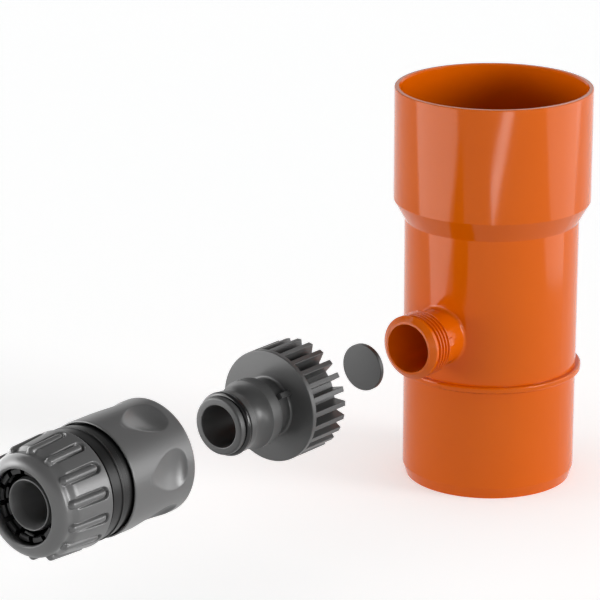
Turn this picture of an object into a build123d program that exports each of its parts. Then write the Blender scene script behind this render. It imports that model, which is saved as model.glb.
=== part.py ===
"""Rainwater diverter for a round downpipe, with its screw-on outlet adapter and hose connector.

The diverter is an orange moulding that takes the place of a short length of downpipe. The upper
pipe drops into its socket, and its lower end drops into the lower pipe as far as the stop ring.
A catch ring inside leads the water that runs down the wall to a threaded side outlet. A finned
adapter screws onto the outlet over a gasket and an optional shut-off disc, and a quick connector
for a garden hose clicks onto the adapter's nozzle.

Frame: +Z up along the pipe, the outlet along -Y, and the origin on the pipe's axis at the
underside of the stop ring, where the lower pipe ends. The loose pieces stand off in a row along
the outlet's axis, as they are drawn apart. "Along" values are distances from the pipe's axis.
"""

import os

from build123d import *

os.makedirs("parts", exist_ok=True)

# Clearances
running_gap = 0.3  # between turned faces that slide or turn on each other
rest_gap = 0.05  # between a seal and the groove that holds it
root_sink = 0.3  # how far a rib or thread is rooted into the wall under it

# The downpipe that the diverter fits
downpipe_diameter = 90.0
downpipe_wall = 2.7

# Diverter moulding, round the pipe's axis
wall = 2.65
body_diameter = 84.9
spigot_diameter = downpipe_diameter - 2 * downpipe_wall
spigot_length = 55.0
spigot_lead = 5.6  # length of the taper at the bottom end
spigot_lead_drop = 1.7  # how much smaller the radius is at its tip
stop_ring_height = 3.2
stop_ring_inset = 0.1  # how far the ring stays inside the lower pipe's outside
stop_ring_round = 0.8
body_top = 75.9
shoulder_height = 9.85
socket_depth = 55.75
rim_round = 0.5
rim_lead = 1.0

# Side outlet, round the outlet's axis
outlet_height = 26.0
outlet_reach = 67.2
outlet_bore = 23.8
neck_diameter = 27.6
neck_fillet = 1.6
thread_diameter = 31.2
thread_depth = 1.0
thread_pitch = 2.26
thread_foot = 0.72  # width of the ridge's foot, as a share of the pitch
thread_crest = 0.28  # width of its crest
thread_turns = 4.0
thread_spare = 0.6  # turns of bare core past the thread
collar_length = 1.7  # plain collar between the thread and the lip
lip_wall = 1.1
lip_foot_wall = 1.76  # wall of the lip where its round end starts
lip_length = 2.0
nub_width = 3.6
nub_length = 2.6
nub_angle = 9.0

# Catch ring inside the moulding
catch_ledge = 0.9  # width of the ledge that it stands on
catch_floor_drop = 1.1  # floor below the bottom of the outlet's bore
catch_floor = 2.8
catch_throat = 55.0
catch_wall = 2.2
catch_height = 37.0

# Shut-off disc
disc_diameter = 22.4
disc_thickness = 2.3
disc_round = 0.3
disc_stand_off = 36.0  # from the outlet's end to the disc's outer face

# Outlet adapter
adapter_stand_off = 45.0  # from the disc's outer face to the back of the cup
flange_diameter = 52.0
flange_thickness = 2.5
flange_round = 0.4
cup_diameter = 38.4
cup_depth = 21.9
fin_count = 24
fin_thickness = 2.5
fin_edge_round = 0.35
fin_slant = 0.9
fin_turn = 1.5
nozzle_bore = 19.6
nozzle_length = 35.1
nose_diameter = 26.6
nose_length = 3.1
nose_round = 0.7
seal_groove_width = 3.2
seal_section = 2.9
seal_diameter = 29.7
catch_collar_diameter = 28.8
catch_collar_length = 3.4
waist_diameter = 25.8
waist_length = 3.2
waist_slope = 6.6
waist_clear = 4.224  # how far the connector's guide bore reaches down the slope
guide_diameter = 32.0
guide_length = 6.1
nozzle_neck_diameter = 29.2
nozzle_neck_fillet = 3.0
key_width = 2.4
key_length = 6.5
key_angle = 37.0
gasket_thickness = 2.4
gasket_rim = 4.0

# Hose connector
connector_stand_off = 45.8  # from the nozzle's mouth to the back of the sleeve
socket_mouth = 0.8  # body's back end, in from the sleeve's
nozzle_end_gap = 1.5  # past the nozzle's mouth when the connector is home
sleeve_length = 39.5
sleeve_travel = 4.5
sleeve_round = 1.6
sleeve_lip = 3.0
skirt_length = 6.5
skirt_wall = 0.75  # wall of the skirt that slides over the body's ring
dimple_count = 6
dimple_depth = 3.1
dimple_back = 5.6
dimple_deepest = 12.6
dimple_front = 28.4
dimple_turn = 6.5
dimple_scoop = 27.5  # radius of the scoop across the sleeve
socket_wall = 2.4
snap_bead = 0.8
home_gap = 3.0  # from the sleeve to the adapter's flange when the connector is home
claw_count = 4
claw_width = 8.0
claw_length = 5.6
claw_setback = 0.4  # from the end of the guide's bore
spring_wire = 1.0
spring_inset = 0.1  # how far the coil reaches inside the step that holds it
spring_turns = 3.0
spring_length = 8.8
body_ring_diameter = 50.0
body_ring_length = 14.4
band_height = 0.45  # how far the band stands out of the connector's ring
band_length = 2.0
nut_thread_diameter = 42.8
nut_thread_length = 13.6
hose_tail_bore = 18.0
hose_tail_diameter = 23.6
hose_tail_length = 24.1  # past the nut's back end
barb_count = 4
barb_pitch = 4.2
barb_depth = 0.9
hose_pocket_floor = 1.5  # in front of the nut's back end
collet_diameter = 34.0
collet_inner = 27.4
collet_base = 4.0
collet_fingers = 12
collet_slot = 2.4
collet_tooth = 0.7

# Clamp nut
nut_gap = 1.4  # from the connector's ring, with the nut done up
nut_length = 28.3
nut_diameter = 52.1
nut_front_diameter = 49.2
nut_opening = 33.0
nut_nose = 8.0
nut_lip = 1.6
nut_edge_round = 0.4
bar_count = 14
bar_width = 3.2
bar_margin = 1.1
bar_back = 1.8
bar_length = 19.9
bar_fall = 0.8  # how much closer to the axis the bar's front end lies
bar_pocket = 1.2
bar_turn = 12.3

# Worked out from the sizes above
outlet_axis = Axis((0, 0, outlet_height), (0, -1, 0))
outlet_section = Plane(origin=(0, 0, outlet_height), x_dir=(0, -1, 0), z_dir=(-1, 0, 0))
body_r = body_diameter / 2
spigot_r = spigot_diameter / 2
stop_ring_r = downpipe_diameter / 2 - stop_ring_inset
socket_bore_r = downpipe_diameter / 2 + running_gap
socket_r = socket_bore_r + wall
body_bore_r = body_r - wall
ledge_top = outlet_height - outlet_bore / 2 - catch_floor_drop - catch_floor
throat_r = catch_throat / 2
shoulder_top = body_top + shoulder_height
rim_top = shoulder_top + socket_depth
neck_r = neck_diameter / 2
thread_r = thread_diameter / 2
thread_core_r = thread_r - thread_depth
collar_back = outlet_reach - lip_length - collar_length
thread_back = collar_back - (thread_turns + thread_spare) * thread_pitch
cup_bore_r = thread_r + running_gap
disc_face_along = outlet_reach + disc_stand_off
cup_back = disc_face_along + adapter_stand_off
flange_back = cup_back + cup_depth
flange_along = flange_back + flange_thickness
nozzle_mouth = flange_along + nozzle_length
connector_along = nozzle_mouth + connector_stand_off
connector_socket_depth = nozzle_length - home_gap + nozzle_end_gap
seal_r = (seal_diameter - seal_section) / 2
seal_groove_r = seal_diameter / 2 - seal_section - rest_gap
connector_bore_r = seal_diameter / 2 + running_gap
guide_bore_r = guide_diameter / 2 + running_gap
socket_outer_r = guide_bore_r + socket_wall
sleeve_bore_r = socket_outer_r + snap_bead + 2 * running_gap
skirt_bore_r = body_ring_diameter / 2 + running_gap
sleeve_r = skirt_bore_r + skirt_wall
spring_r = sleeve_bore_r + spring_wire / 2 - spring_inset
spring_bore_r = spring_r + spring_wire / 2 + running_gap
ring_back = sleeve_length - skirt_length + sleeve_travel + running_gap
ring_front = ring_back + body_ring_length
band_back = sleeve_length + sleeve_travel + 2 * running_gap
band_r = body_ring_diameter / 2 + band_height
nut_back = ring_front + nut_gap
hose_tail_reach = nut_back + hose_tail_length
nut_thread_r = nut_thread_diameter / 2
hose_pocket_r = collet_diameter / 2 + running_gap
collet_length = nut_length - 2 * nut_lip - hose_pocket_floor - rest_gap
tail_r = hose_tail_diameter / 2
sleeve_step = ring_back - spring_length - 2 * rest_gap
nut_r = nut_diameter / 2
guide_bore_end = (
    nozzle_length
    - home_gap
    - nose_length
    - seal_groove_width
    - catch_collar_length
    - waist_length
    - waist_clear
)
claw_back = guide_bore_end + claw_setback


def at(distance):
    """Place on the hose connector, this far from the back end of its sleeve."""
    return connector_along + distance


def across(distance):
    """Plane square to the outlet's axis at this distance along it, facing away from the pipe."""
    return Plane(origin=(0, -distance, outlet_height), x_dir=(1, 0, 0), z_dir=(0, -1, 0))


# Diverter moulding: spigot, stop ring, body, shoulder and socket in one wall
with BuildPart() as diverter_body:
    with BuildSketch(Plane.XZ):
        with BuildLine():
            Polyline(
                (body_bore_r - catch_ledge, -spigot_length),
                (spigot_r - spigot_lead_drop, -spigot_length),
                (spigot_r, -spigot_length + spigot_lead),
                (spigot_r, 0),
                (stop_ring_r, 0),
                (stop_ring_r, stop_ring_height),
                (body_r, stop_ring_height),
                (body_r, body_top),
                (socket_r, shoulder_top),
                (socket_r, rim_top),
                (socket_bore_r + rim_lead / 2, rim_top),
                (socket_bore_r, rim_top - rim_lead),
                (socket_bore_r, shoulder_top + wall / 2),
                (body_bore_r, body_top + wall / 2),
                (body_bore_r, ledge_top),
                (body_bore_r - catch_ledge, ledge_top),
                close=True,
            )
        make_face()
    revolve(axis=Axis.Z)
    ring_edges = (
        diverter_body.edges()
        .filter_by(GeomType.CIRCLE)
        .filter_by(lambda e: abs(e.radius - stop_ring_r) < 0.001)
    )
    fillet(ring_edges, radius=stop_ring_round)
    rim_edge = (
        diverter_body.edges()
        .filter_by(GeomType.CIRCLE)
        .filter_by(lambda e: abs(e.radius - socket_r) < 0.001)
        .sort_by(Axis.Z)[-1]
    )
    fillet(rim_edge, radius=rim_round)
    # Outlet neck, run from inside the wall and filleted where it leaves it
    with BuildSketch(across(body_bore_r)):
        Circle(neck_r)
    extrude(amount=thread_back - body_bore_r)
    neck_foot = (
        diverter_body.edges()
        .filter_by(lambda e: e.geom_type not in (GeomType.CIRCLE, GeomType.LINE))
        .sort_by_distance((0, -body_r, outlet_height))[0]
    )
    fillet(neck_foot, radius=neck_fillet)
    # Threaded core, collar and lip
    with BuildSketch(outlet_section):
        with BuildLine():
            Polyline(
                (thread_back, 0),
                (thread_back, thread_core_r),
                (collar_back, thread_core_r),
                (collar_back, thread_r),
                (outlet_reach - lip_length, thread_r),
                (outlet_reach - lip_length / 4, outlet_bore / 2 + lip_foot_wall),
                (outlet_reach, outlet_bore / 2 + lip_wall),
                (outlet_reach, 0),
                close=True,
            )
        make_face()
    revolve(axis=outlet_axis)
    # Thread, a tapered ridge wound on the core
    with BuildLine():
        thread_path = Helix(
            pitch=thread_pitch,
            height=thread_turns * thread_pitch,
            radius=thread_core_r,
            center=(0, -(thread_back + thread_pitch / 3), outlet_height),
            direction=(0, -1, 0),
        )
    start = thread_path @ 0
    outward = Vector(start.X, 0, start.Z - outlet_height).normalized()
    with BuildSketch(Plane(origin=start, x_dir=outward, z_dir=thread_path % 0)):
        with BuildLine():
            Polyline(
                (-root_sink, -thread_foot / 2 * thread_pitch),
                (thread_depth, -thread_crest / 2 * thread_pitch),
                (thread_depth, thread_crest / 2 * thread_pitch),
                (-root_sink, thread_foot / 2 * thread_pitch),
                close=True,
            )
        make_face()
    sweep(path=thread_path, is_frenet=True)
    # Stop nub on the neck, just behind the thread
    nub_place = Rot(0, -nub_angle, 0) * Pos(neck_r, 0, 0)
    with Locations(Pos(0, -(thread_back - nub_length / 2), outlet_height) * nub_place):
        Box(2 * thread_depth, nub_length, nub_width)
    # Bore of the outlet, into the catch ring
    with BuildSketch(across(body_bore_r - 3 * wall)):
        Circle(outlet_bore / 2)
    extrude(amount=outlet_reach, mode=Mode.SUBTRACT)
diverter_body.part.label = "diverter_body"
export_step(diverter_body.part, "parts/diverter_body.step")

# Catch ring: a trough round the wall, open at the top, that stands on the moulding's ledge
with BuildPart() as catch_ring:
    with BuildSketch(Plane.XZ):
        with BuildLine():
            Polyline(
                (throat_r, ledge_top),
                (body_bore_r - running_gap, ledge_top),
                (body_bore_r - running_gap, ledge_top + catch_floor),
                (throat_r + catch_wall, ledge_top + catch_floor),
                (throat_r + catch_wall, ledge_top + catch_floor + catch_height),
                (throat_r, ledge_top + catch_floor + catch_height),
                close=True,
            )
        make_face()
    revolve(axis=Axis.Z)
    fillet(catch_ring.edges().group_by(Axis.Z)[-1], radius=catch_wall / 3)
catch_ring.part.label = "catch_ring"
export_step(catch_ring.part, "parts/catch_ring.step")

# Shut-off disc, a plain disc that closes the adapter's nozzle from inside
with BuildPart() as shut_off_disc:
    with BuildSketch(across(disc_face_along - disc_thickness)):
        Circle(disc_diameter / 2)
    extrude(amount=disc_thickness)
    fillet(shut_off_disc.edges().filter_by(GeomType.CIRCLE), radius=disc_round)
shut_off_disc.part.label = "shut_off_disc"
export_step(shut_off_disc.part, "parts/shut_off_disc.step")

# Outlet adapter: cup, flange and nozzle in one moulding, with fins to turn it by
groove_front = nozzle_mouth - nose_length
groove_back = groove_front - seal_groove_width
collar_foot = groove_back - catch_collar_length
slope_front = collar_foot - waist_length
guide_front = slope_front - waist_slope
guide_back = guide_front - guide_length
with BuildPart() as outlet_adapter:
    with BuildSketch(outlet_section):
        with BuildLine():
            Polyline(
                (nozzle_mouth, nozzle_bore / 2),
                (nozzle_mouth, nose_diameter / 2 - nose_round),
                (nozzle_mouth - nose_round, nose_diameter / 2),
                (groove_front, nose_diameter / 2),
                (groove_front, seal_groove_r),
                (groove_back, seal_groove_r),
                (groove_back, catch_collar_diameter / 2 - fin_edge_round),
                (groove_back - fin_edge_round, catch_collar_diameter / 2),
                (collar_foot + fin_edge_round, catch_collar_diameter / 2),
                (collar_foot, catch_collar_diameter / 2 - fin_edge_round),
                (collar_foot, waist_diameter / 2),
                (slope_front, waist_diameter / 2),
            )
            ThreePointArc(
                (slope_front, waist_diameter / 2),
                (
                    slope_front - 0.55 * waist_slope,
                    waist_diameter / 2 + 0.36 * (guide_diameter - waist_diameter) / 2,
                ),
                (guide_front, guide_diameter / 2),
            )
            Polyline(
                (guide_front, guide_diameter / 2),
                (guide_back + fin_edge_round, guide_diameter / 2),
                (guide_back, guide_diameter / 2 - fin_edge_round),
                (guide_back, nozzle_neck_diameter / 2),
                (flange_along, nozzle_neck_diameter / 2),
                (flange_along, flange_diameter / 2 - flange_round),
                (flange_along - flange_round, flange_diameter / 2),
                (flange_back, flange_diameter / 2),
                (flange_back, cup_diameter / 2),
                (cup_back, cup_diameter / 2),
                (cup_back, cup_bore_r),
                (flange_back, cup_bore_r),
                (flange_back, nozzle_bore / 2),
                (nozzle_mouth, nozzle_bore / 2),
            )
        make_face()
    revolve(axis=outlet_axis)
    flange_foot = (
        outlet_adapter.edges()
        .filter_by(GeomType.CIRCLE)
        .filter_by(lambda e: abs(e.radius - nozzle_neck_diameter / 2) < 0.001)
        .sort_by(Axis.Y)[-1]
    )
    fillet(flange_foot, radius=nozzle_neck_fillet)
    # Fins, drawn end on and run from the flange to the cup's back end
    fin_height = (flange_diameter - cup_diameter) / 2 + root_sink
    with BuildSketch(across(cup_back)):
        with PolarLocations(cup_diameter / 2 - root_sink, fin_count, start_angle=fin_turn):
            with Locations((fin_height / 2, 0)):
                RectangleRounded(fin_height, fin_thickness, fin_edge_round)
    extrude(amount=cup_depth + root_sink)
    # The fins' back ends lean back from the cup to their outer edge
    with BuildSketch(outlet_section):
        with BuildLine():
            Polyline(
                (cup_back - 1, cup_diameter / 2),
                (cup_back, cup_diameter / 2),
                (cup_back + fin_slant, flange_diameter / 2 + 1),
                (cup_back - 1, flange_diameter / 2 + 1),
                close=True,
            )
        make_face()
    revolve(axis=outlet_axis, mode=Mode.SUBTRACT)
    # Key on the nozzle's neck
    key_height = (guide_diameter - nozzle_neck_diameter) / 2
    key_r = nozzle_neck_diameter / 2 - root_sink + key_height / 2
    key_place = Rot(0, -key_angle, 0) * Pos(key_r, 0, 0)
    with Locations(Pos(0, -(flange_along + key_length / 2), outlet_height) * key_place):
        Box(key_height, key_length, key_width)
outlet_adapter.part.label = "outlet_adapter"
export_step(outlet_adapter.part, "parts/outlet_adapter.step")

# Flat gasket on the floor of the adapter's cup, which the outlet's lip presses on
with BuildPart() as adapter_gasket:
    with BuildSketch(across(flange_back - gasket_thickness)):
        Circle(cup_bore_r - rest_gap)
        Circle(cup_bore_r - gasket_rim, mode=Mode.SUBTRACT)
    extrude(amount=gasket_thickness)
adapter_gasket.part.label = "adapter_gasket"
export_step(adapter_gasket.part, "parts/adapter_gasket.step")

# O-ring in the nozzle's groove
with BuildPart() as nozzle_o_ring:
    with BuildSketch(outlet_section):
        with Locations((groove_front - seal_groove_width / 2, seal_r)):
            Circle(seal_section / 2)
    revolve(axis=outlet_axis)
nozzle_o_ring.part.label = "nozzle_o_ring"
export_step(nozzle_o_ring.part, "parts/nozzle_o_ring.step")

# Connector body: socket for the nozzle at the back, hose tail at the front, a ring between
bead_front = sleeve_lip - running_gap
pocket_floor = nut_back + hose_pocket_floor
with BuildPart() as connector_body:
    with BuildSketch(outlet_section):
        with BuildLine():
            Polyline(
                (at(connector_socket_depth), connector_bore_r),
                (at(guide_bore_end), connector_bore_r),
                (at(guide_bore_end), guide_bore_r),
                (at(socket_mouth), guide_bore_r),
                (at(socket_mouth), socket_outer_r),
                (at(socket_mouth + snap_bead / 2), socket_outer_r + snap_bead),
                (at(bead_front), socket_outer_r + snap_bead),
                (at(bead_front), socket_outer_r),
                (at(ring_back), socket_outer_r),
                (at(ring_back), body_ring_diameter / 2),
                (at(band_back), body_ring_diameter / 2),
                (at(band_back), band_r),
                (at(band_back + band_length), band_r),
                (at(band_back + band_length), body_ring_diameter / 2),
                (at(ring_front), body_ring_diameter / 2),
                (at(ring_front), nut_thread_r),
                (at(nut_back + nut_thread_length), nut_thread_r),
                (at(nut_back + nut_thread_length), hose_pocket_r),
                (at(pocket_floor), hose_pocket_r),
                (at(pocket_floor), tail_r - barb_depth),
            )
            # Barbs of the hose tail, each rising towards the body
            barb_end = hose_tail_reach
            points = [(at(pocket_floor), tail_r - barb_depth)]
            for barb in range(barb_count, 0, -1):
                crest = barb_end - barb * barb_pitch
                points.append((at(crest), tail_r - barb_depth))
                points.append((at(crest + 0.1), tail_r))
                points.append((at(crest + 0.35 * barb_pitch), tail_r))
            points.append((at(barb_end), tail_r - 0.3 * barb_depth))
            points.append((at(barb_end), hose_tail_bore / 2 + barb_depth))
            points.append((at(barb_end - 2 * barb_depth), hose_tail_bore / 2))
            points.append((at(connector_socket_depth), hose_tail_bore / 2))
            points.append((at(connector_socket_depth), connector_bore_r))
            Polyline(*points)
        make_face()
    revolve(axis=outlet_axis)
    band_edges = (
        connector_body.edges()
        .filter_by(GeomType.CIRCLE)
        .filter_by(lambda e: abs(e.radius - band_r) < 0.001)
    )
    fillet(band_edges, radius=2 * band_height / 3)
    # Windows in the socket's wall, one for each locking claw
    with BuildSketch(across(at(claw_back - running_gap))):
        with PolarLocations(guide_bore_r, claw_count):
            Rectangle(4 * socket_wall, claw_width + 2 * running_gap)
    extrude(amount=claw_length + 2 * running_gap, mode=Mode.SUBTRACT)
connector_body.part.label = "connector_body"
export_step(connector_body.part, "parts/connector_body.step")

# Locking claws, in the windows of the body's socket, standing open
with BuildPart() as locking_claws:
    with BuildSketch(across(at(claw_back))):
        with PolarLocations(guide_bore_r, claw_count):
            Rectangle(6 * socket_wall, claw_width)
        Circle(sleeve_bore_r - running_gap, mode=Mode.INTERSECT)
        Circle(connector_bore_r + rest_gap, mode=Mode.SUBTRACT)
    extrude(amount=claw_length)
locking_claws.part.label = "locking_claws"
export_step(locking_claws.part, "parts/locking_claws.step")

# Coil spring between the sleeve's step and the body's ring
with BuildPart() as sleeve_spring:
    with BuildLine():
        coil = Helix(
            pitch=(spring_length - spring_wire) / spring_turns,
            height=spring_length - spring_wire,
            radius=spring_r,
            center=(0, -at(sleeve_step + rest_gap + spring_wire / 2), outlet_height),
            direction=(0, -1, 0),
        )
    with BuildSketch(Plane(origin=coil @ 0, z_dir=coil % 0)):
        Circle(spring_wire / 2)
    sweep(path=coil, is_frenet=True)
sleeve_spring.part.label = "sleeve_spring"
export_step(sleeve_spring.part, "parts/sleeve_spring.step")

# One finger dimple's scoop, a long spindle that lies outside the sleeve and bites into it
scoop_axis_r = sleeve_r - dimple_depth + dimple_scoop
with BuildPart() as scoop:
    with BuildSketch(outlet_section):
        with BuildLine():
            rim_r = dimple_scoop - dimple_depth
            scoop_base = outlet_section.from_local_coords((0, scoop_axis_r, 0))
            Polyline(
                (at(dimple_front), scoop_axis_r - rim_r),
                (at(dimple_front), scoop_axis_r),
                (at(dimple_back), scoop_axis_r),
                (at(dimple_back), scoop_axis_r - rim_r),
            )
            Spline(
                (at(dimple_back), scoop_axis_r - rim_r),
                (at(dimple_deepest), scoop_axis_r - dimple_scoop),
                (at(dimple_front), scoop_axis_r - rim_r),
                tangents=[(0.35, -1), (1, 0.16)],
            )
        make_face()
    revolve(axis=Axis(scoop_base, (0, -1, 0)))

# Release sleeve, sprung back against the bead on the body's end
with BuildPart() as release_sleeve:
    with BuildSketch(outlet_section):
        with BuildLine():
            Polyline(
                (at(sleeve_round), sleeve_r),
                (at(sleeve_length - nut_edge_round), sleeve_r),
                (at(sleeve_length), sleeve_r - nut_edge_round),
                (at(sleeve_length), skirt_bore_r),
                (at(sleeve_length - skirt_length), skirt_bore_r),
                (at(sleeve_length - skirt_length), spring_bore_r),
                (at(sleeve_step), spring_bore_r),
                (at(sleeve_step), sleeve_bore_r),
                (at(2 * sleeve_lip), sleeve_bore_r),
                (at(2 * sleeve_lip), socket_outer_r + running_gap),
                (at(sleeve_lip), socket_outer_r + running_gap),
                (at(sleeve_lip), sleeve_bore_r),
                (at(0), sleeve_bore_r),
                (at(0), sleeve_r - sleeve_round),
            )
            RadiusArc((at(0), sleeve_r - sleeve_round), (at(sleeve_round), sleeve_r), sleeve_round)
        make_face()
    revolve(axis=outlet_axis)
    for dimple in range(dimple_count):
        turn = dimple_turn + dimple * 360 / dimple_count
        about_axis = Pos(0, 0, outlet_height) * Rot(0, 90 - turn, 0) * Pos(0, 0, -outlet_height)
        add(scoop.part.moved(about_axis), mode=Mode.SUBTRACT)
release_sleeve.part.label = "release_sleeve"
export_step(release_sleeve.part, "parts/release_sleeve.step")

# Grip collet: a ring of fingers with inner teeth that the nut closes on the hose
collet_back = pocket_floor + rest_gap
collet_front = collet_back + collet_length
finger_inner_r = collet_inner / 2 + collet_tooth
with BuildPart() as grip_collet:
    with BuildSketch(outlet_section):
        with BuildLine():
            Polyline(
                (at(collet_back), collet_inner / 2),
                (at(collet_back), collet_diameter / 2),
                (at(collet_front - 3 * collet_tooth), collet_diameter / 2),
                (at(collet_front), collet_diameter / 2 - 1.5 * collet_tooth),
                (at(collet_front), collet_inner / 2 + 0.5 * collet_tooth),
                (at(collet_front - collet_tooth), collet_inner / 2),
                (at(collet_front - 2 * collet_tooth), finger_inner_r),
                (at(collet_front - 4 * collet_tooth), finger_inner_r),
                (at(collet_front - 5 * collet_tooth), collet_inner / 2),
                (at(collet_front - 6 * collet_tooth), finger_inner_r),
                (at(collet_back + collet_base), finger_inner_r),
                (at(collet_back + collet_base), collet_inner / 2),
                close=True,
            )
        make_face()
    revolve(axis=outlet_axis)
    with BuildSketch(across(at(collet_back + collet_base))):
        with PolarLocations(collet_diameter / 2, collet_fingers, start_angle=7.5):
            Rectangle(collet_diameter / 2, collet_slot)
    extrude(amount=collet_length, mode=Mode.SUBTRACT)
grip_collet.part.label = "grip_collet"
export_step(grip_collet.part, "parts/grip_collet.step")

# One bar of the nut's grip, a round-ended rod that leans in towards the nose
bar_r = bar_width / 2
bar_rod = bar_length - bar_width
bar_start = Vector(0, -at(nut_back + bar_back + bar_margin + bar_r), outlet_height + nut_r - bar_r)
bar_lean = Vector(0, -bar_rod, -bar_fall).normalized()
with BuildPart() as grip_bar:
    with BuildSketch(Plane(origin=bar_start, x_dir=bar_lean, z_dir=(-1, 0, 0))):
        with BuildLine():
            Line((-bar_r, 0), (bar_rod + bar_r, 0))
            RadiusArc((-bar_r, 0), (0, bar_r), bar_r)
            Line((0, bar_r), (bar_rod, bar_r))
            RadiusArc((bar_rod, bar_r), (bar_rod + bar_r, 0), bar_r)
        make_face()
    revolve(axis=Axis(bar_start, bar_lean))

# Clamp nut with a round nose and a ring of bars, each in a pocket that runs out at the front
nut_front = nut_back + nut_length
nose_back = nut_front - nut_nose
opening_r = nut_opening / 2
with BuildPart() as clamp_nut:
    with BuildSketch(outlet_section):
        with BuildLine():
            Polyline(
                (at(nut_front) - nut_lip, opening_r),
                (at(nut_front) - 2 * nut_lip, opening_r),
                (at(nut_back + nut_thread_length + running_gap), nut_thread_r + running_gap),
                (at(nut_back), nut_thread_r + running_gap),
                (at(nut_back), nut_r - nut_edge_round),
                (at(nut_back + nut_edge_round), nut_r),
                (at(nose_back), nut_front_diameter / 2),
            )
            ThreePointArc(
                (at(nose_back), nut_front_diameter / 2),
                (at(nose_back + 0.7 * nut_nose), nut_front_diameter / 2 - 0.26 * nut_nose),
                (at(nut_front), opening_r + nut_lip),
            )
            RadiusArc(
                (at(nut_front), opening_r + nut_lip), (at(nut_front) - nut_lip, opening_r), nut_lip
            )
        make_face()
    revolve(axis=outlet_axis)
    pocket_width = bar_width + 2 * bar_margin
    pocket_length = bar_length + bar_margin + pocket_width
    for bar in range(bar_count):
        turn = bar_turn + bar * 360 / bar_count
        outward = Vector(1, 0, 0).rotate(Axis((0, 0, 0), (0, -1, 0)), turn)
        middle = -at(nut_back + bar_back + pocket_length / 2)
        pocket_place = outward * (nut_r - bar_pocket) + Vector(0, middle, outlet_height)
        with BuildSketch(Plane(origin=pocket_place, x_dir=(0, -1, 0), z_dir=outward)):
            SlotOverall(pocket_length, pocket_width)
        extrude(amount=3 * bar_pocket, mode=Mode.SUBTRACT)
    for bar in range(bar_count):
        turn = bar_turn + bar * 360 / bar_count
        about_axis = Pos(0, 0, outlet_height) * Rot(0, 90 - turn, 0) * Pos(0, 0, -outlet_height)
        add(grip_bar.part.moved(about_axis))
clamp_nut.part.label = "clamp_nut"
export_step(clamp_nut.part, "parts/clamp_nut.step")
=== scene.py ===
"""Rainwater diverter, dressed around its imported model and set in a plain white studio.

The orange diverter, the disc, the finned adapter and the quick hose connector stand off in a row
along the outlet's axis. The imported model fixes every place. Sizes are in millimetres and places in
metres, and each turned piece is drawn as an outline of distances along and out from its axle.
"""

import logging
from dataclasses import dataclass
from enum import Enum
from math import cos, pi, radians, sin, tan, tau
from typing import Callable, Sequence

import bpy
import numpy as np
from mathutils import Matrix, Vector


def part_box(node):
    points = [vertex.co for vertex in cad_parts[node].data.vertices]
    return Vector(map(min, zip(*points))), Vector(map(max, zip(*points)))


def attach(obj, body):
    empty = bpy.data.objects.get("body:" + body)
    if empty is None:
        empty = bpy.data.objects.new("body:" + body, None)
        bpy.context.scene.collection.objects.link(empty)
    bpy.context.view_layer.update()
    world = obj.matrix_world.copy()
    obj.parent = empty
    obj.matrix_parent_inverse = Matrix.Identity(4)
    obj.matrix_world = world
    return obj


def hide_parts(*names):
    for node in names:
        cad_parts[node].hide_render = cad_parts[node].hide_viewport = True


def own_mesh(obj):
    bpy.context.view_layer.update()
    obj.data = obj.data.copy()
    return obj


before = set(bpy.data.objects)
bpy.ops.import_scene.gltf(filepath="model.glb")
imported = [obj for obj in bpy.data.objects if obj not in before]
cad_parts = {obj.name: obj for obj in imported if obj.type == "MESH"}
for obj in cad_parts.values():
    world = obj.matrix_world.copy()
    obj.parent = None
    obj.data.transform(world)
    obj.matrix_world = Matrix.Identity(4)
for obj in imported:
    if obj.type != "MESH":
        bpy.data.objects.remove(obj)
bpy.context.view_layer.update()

logging.basicConfig(level=logging.INFO, format="%(relativeCreated)6.0f ms  %(message)s")
log = logging.getLogger("diverter")

MM = 0.001

Piece = bpy.types.Object


class Colour(Enum):
    """Colours of the mouldings and small parts, as sRGB hex values."""

    ORANGE = "#E36600"
    ORANGE_DEEP = "#DC6000"
    LIGHT_GRAY = "#5A5A5A"
    DARK_GRAY = "#484848"
    CHARCOAL = "#0C0C0C"
    BLACK = "#0E0E0E"
    RUBBER = "#0A0A0A"
    STEEL = "#B4B2AE"
    DISC_GRAY = "#262626"
    FLOOR = "#DEDFDF"
    # Painted shade: the floor's glow takes this colour close to the object
    FLOOR_SHADE = "#C3C5C5"


def linear(colour: Colour) -> tuple[float, float, float, float]:
    """Turn a colour's sRGB hex value into linear light.

    Args:
        colour: one of the named colours.

    Returns:
        Red, green, blue and an alpha of 1, as a shader's colour socket takes them.
    """
    digits = colour.value.lstrip("#")
    channels = []
    for start in (0, 2, 4):
        level = int(digits[start : start + 2], 16) / 255
        channels.append(level / 12.92 if level <= 0.04045 else ((level + 0.055) / 1.055) ** 2.4)
    return (channels[0], channels[1], channels[2], 1.0)


def add_node(
    tree: bpy.types.NodeTree,
    kind: str,
    settings: dict[str, object] | None = None,
    inputs: dict[str | int, object] | None = None,
) -> bpy.types.Node:
    """Add a node, set its properties and fill or link its inputs.

    Args:
        tree: the node tree that gets the node.
        kind: the node's type name.
        settings: properties to set on the node.
        inputs: values or output sockets for its input sockets, by name or number.

    Returns:
        The new node.
    """
    node = tree.nodes.new(kind)
    for name, value in (settings or {}).items():
        setattr(node, name, value)
    for name, value in (inputs or {}).items():
        if isinstance(value, bpy.types.NodeSocket):
            tree.links.new(value, node.inputs[name])
        else:
            node.inputs[name].default_value = value
    return node


def blank_material(name: str) -> bpy.types.Material:
    """Add a material with an empty node tree.

    Args:
        name: the new material's name.

    Returns:
        The material.
    """
    made = bpy.data.materials.new(name)
    made.use_nodes = True
    made.node_tree.nodes.clear()
    return made


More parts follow.
